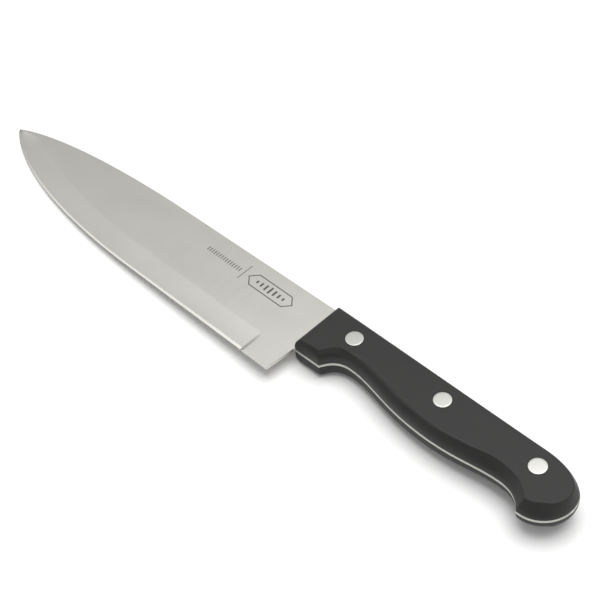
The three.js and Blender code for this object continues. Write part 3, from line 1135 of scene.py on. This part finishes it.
def hanging_light(name, place, size, power):
    """A rectangular soft light that hangs level and shines straight down."""
    data = bpy.data.lights.new(name, "AREA")
    data.shape = "RECTANGLE"
    data.size, data.size_y = size
    data.energy = power
    lamp = bpy.data.objects.new(name, data)
    bpy.context.scene.collection.objects.link(lamp)
    lamp.location = place


class KNIFE_OT_studio(bpy.types.Operator):
    """Builds the table, the soft lights and the camera"""

    bl_idname = "knife.studio"
    bl_label = "Studio"

    def execute(self, context):
        studio = context.scene.knife_studio
        self.make_table(studio)
        self.make_light(context.scene, studio)
        self.make_camera(context.scene, studio)
        return {"FINISHED"}

    @staticmethod
    def make_table(studio):
        """A wide pale plane, tilted so that the knife rests on it as a real one does."""
        contact, slope = table_tilt()
        corners = TABLE_REACH * np.array(((-1, -1), (1, -1), (1, 1), (-1, 1)))
        heights = ORIGIN[2] - TABLE_GAP - (corners[:, 0] - contact) * math.tan(slope)
        mesh = bpy.data.meshes.new("table")
        mesh.from_pydata(np.column_stack((corners, heights)).tolist(), [], [(0, 1, 2, 3)])
        table = bpy.data.objects.new("table", mesh)
        bpy.context.scene.collection.objects.link(table)
        material, _, shader, _ = new_material("table_white")
        shader.inputs["Base Color"].default_value = (0.93, 0.93, 0.925, 1.0)
        shader.inputs["Roughness"].default_value = 0.8
        shader.inputs["Specular IOR Level"].default_value = 0.2
        shader.inputs["Emission Color"].default_value = (1.0, 1.0, 0.995, 1.0)
        shader.inputs["Emission Strength"].default_value = studio.table_glow
        mesh.materials.append(material)

    @staticmethod
    def make_light(scene, studio):
        """Light from all round that fades towards the front, and two hanging lights."""
        world = bpy.data.worlds.new("studio_world")
        world.use_nodes = True
        tree = world.node_tree
        direction = tree.nodes.new("ShaderNodeTexCoord").outputs["Generated"]
        backward = tree.nodes.new("ShaderNodeVectorMath")
        backward.operation = "DOT_PRODUCT"
        backward.inputs[1].default_value = ROOM_UP
        fade = tree.nodes.new("ShaderNodeMapRange")
        fade.inputs["From Min"].default_value = -0.4
        fade.inputs["From Max"].default_value = 0.6
        fade.inputs["To Min"].default_value = ROOM_DIMMEST * studio.room_light
        fade.inputs["To Max"].default_value = studio.room_light
        background = tree.nodes["Background"]
        background.inputs["Color"].default_value = (1.0, 1.0, 1.0, 1.0)
        tree.links.new(direction, backward.inputs[0])
        tree.links.new(backward.outputs["Value"], fade.inputs["Value"])
        tree.links.new(fade.outputs["Result"], background.inputs["Strength"])
        scene.world = world
        hanging_light("key_light", KEY_PLACE, KEY_SIZE, studio.key_power)
        hanging_light("strip_light", STRIP_PLACE, STRIP_SIZE, studio.strip_power)
        scene.view_settings.view_transform = "Standard"

    @staticmethod
    def make_camera(scene, studio):
        """Places the camera from its offset, its two angles of view and its roll."""
        low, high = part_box("front_rivet_tube")
        rivet = (low + high) / 2
        azimuth = studio.camera_azimuth
        elevation = studio.camera_elevation
        level = math.cos(elevation)
        ahead = Vector((level * math.cos(azimuth), level * math.sin(azimuth), math.sin(elevation)))
        across = ahead.cross(Vector((0, 0, 1))).normalized()
        upright = across.cross(ahead)
        roll = studio.camera_roll
        right = across * math.cos(roll) + upright * math.sin(roll)
        up = upright * math.cos(roll) - across * math.sin(roll)
        data = bpy.data.cameras.new("camera")
        data.sensor_width = 36.0
        data.lens = studio.lens
        data.clip_start = 0.01
        camera = bpy.data.objects.new("camera", data)
        scene.collection.objects.link(camera)
        turn = Matrix((right, up, -ahead)).transposed().to_4x4()
        place = Vector((rivet.x, rivet.y, high.z)) + Vector(studio.camera_offset)
        camera.matrix_world = Matrix.Translation(place) @ turn
        scene.camera = camera


# ------------------------------------------------------------------------- add-on


class KNIFE_PT_builder(bpy.types.Panel):
    """Lists the knife's pieces in the sidebar"""

    bl_label = "Chef's Knife"
    bl_space_type = "VIEW_3D"
    bl_region_type = "UI"
    bl_category = "Knife"

    def draw(self, context):
        layout = self.layout
        for operator in OPERATORS:
            layout.operator(operator.bl_idname)
        scene = context.scene
        for group in (scene.knife_sizes, scene.knife_colours, scene.knife_studio):
            column = layout.column()
            for name in group.__annotations__:
                column.prop(group, name)


OPERATORS = (KNIFE_OT_blade, KNIFE_OT_scales, KNIFE_OT_rivets, KNIFE_OT_etching, KNIFE_OT_studio)
CLASSES = (KnifeSizes, KnifeColours, StudioSettings, *OPERATORS, KNIFE_PT_builder)


def register():
    for cls in CLASSES:
        bpy.utils.register_class(cls)
    bpy.types.Scene.knife_sizes = PointerProperty(type=KnifeSizes)
    bpy.types.Scene.knife_colours = PointerProperty(type=KnifeColours)
    bpy.types.Scene.knife_studio = PointerProperty(type=StudioSettings)


def unregister():
    del bpy.types.Scene.knife_studio
    del bpy.types.Scene.knife_colours
    del bpy.types.Scene.knife_sizes
    for cls in reversed(CLASSES):
        bpy.utils.unregister_class(cls)


def main():
    """Builds the pieces in order."""
    register()
    bpy.ops.knife.blade()
    bpy.ops.knife.scales()
    bpy.ops.knife.rivets()
    bpy.ops.knife.etching()
    bpy.ops.knife.studio()


if __name__ == "__main__":
    main()
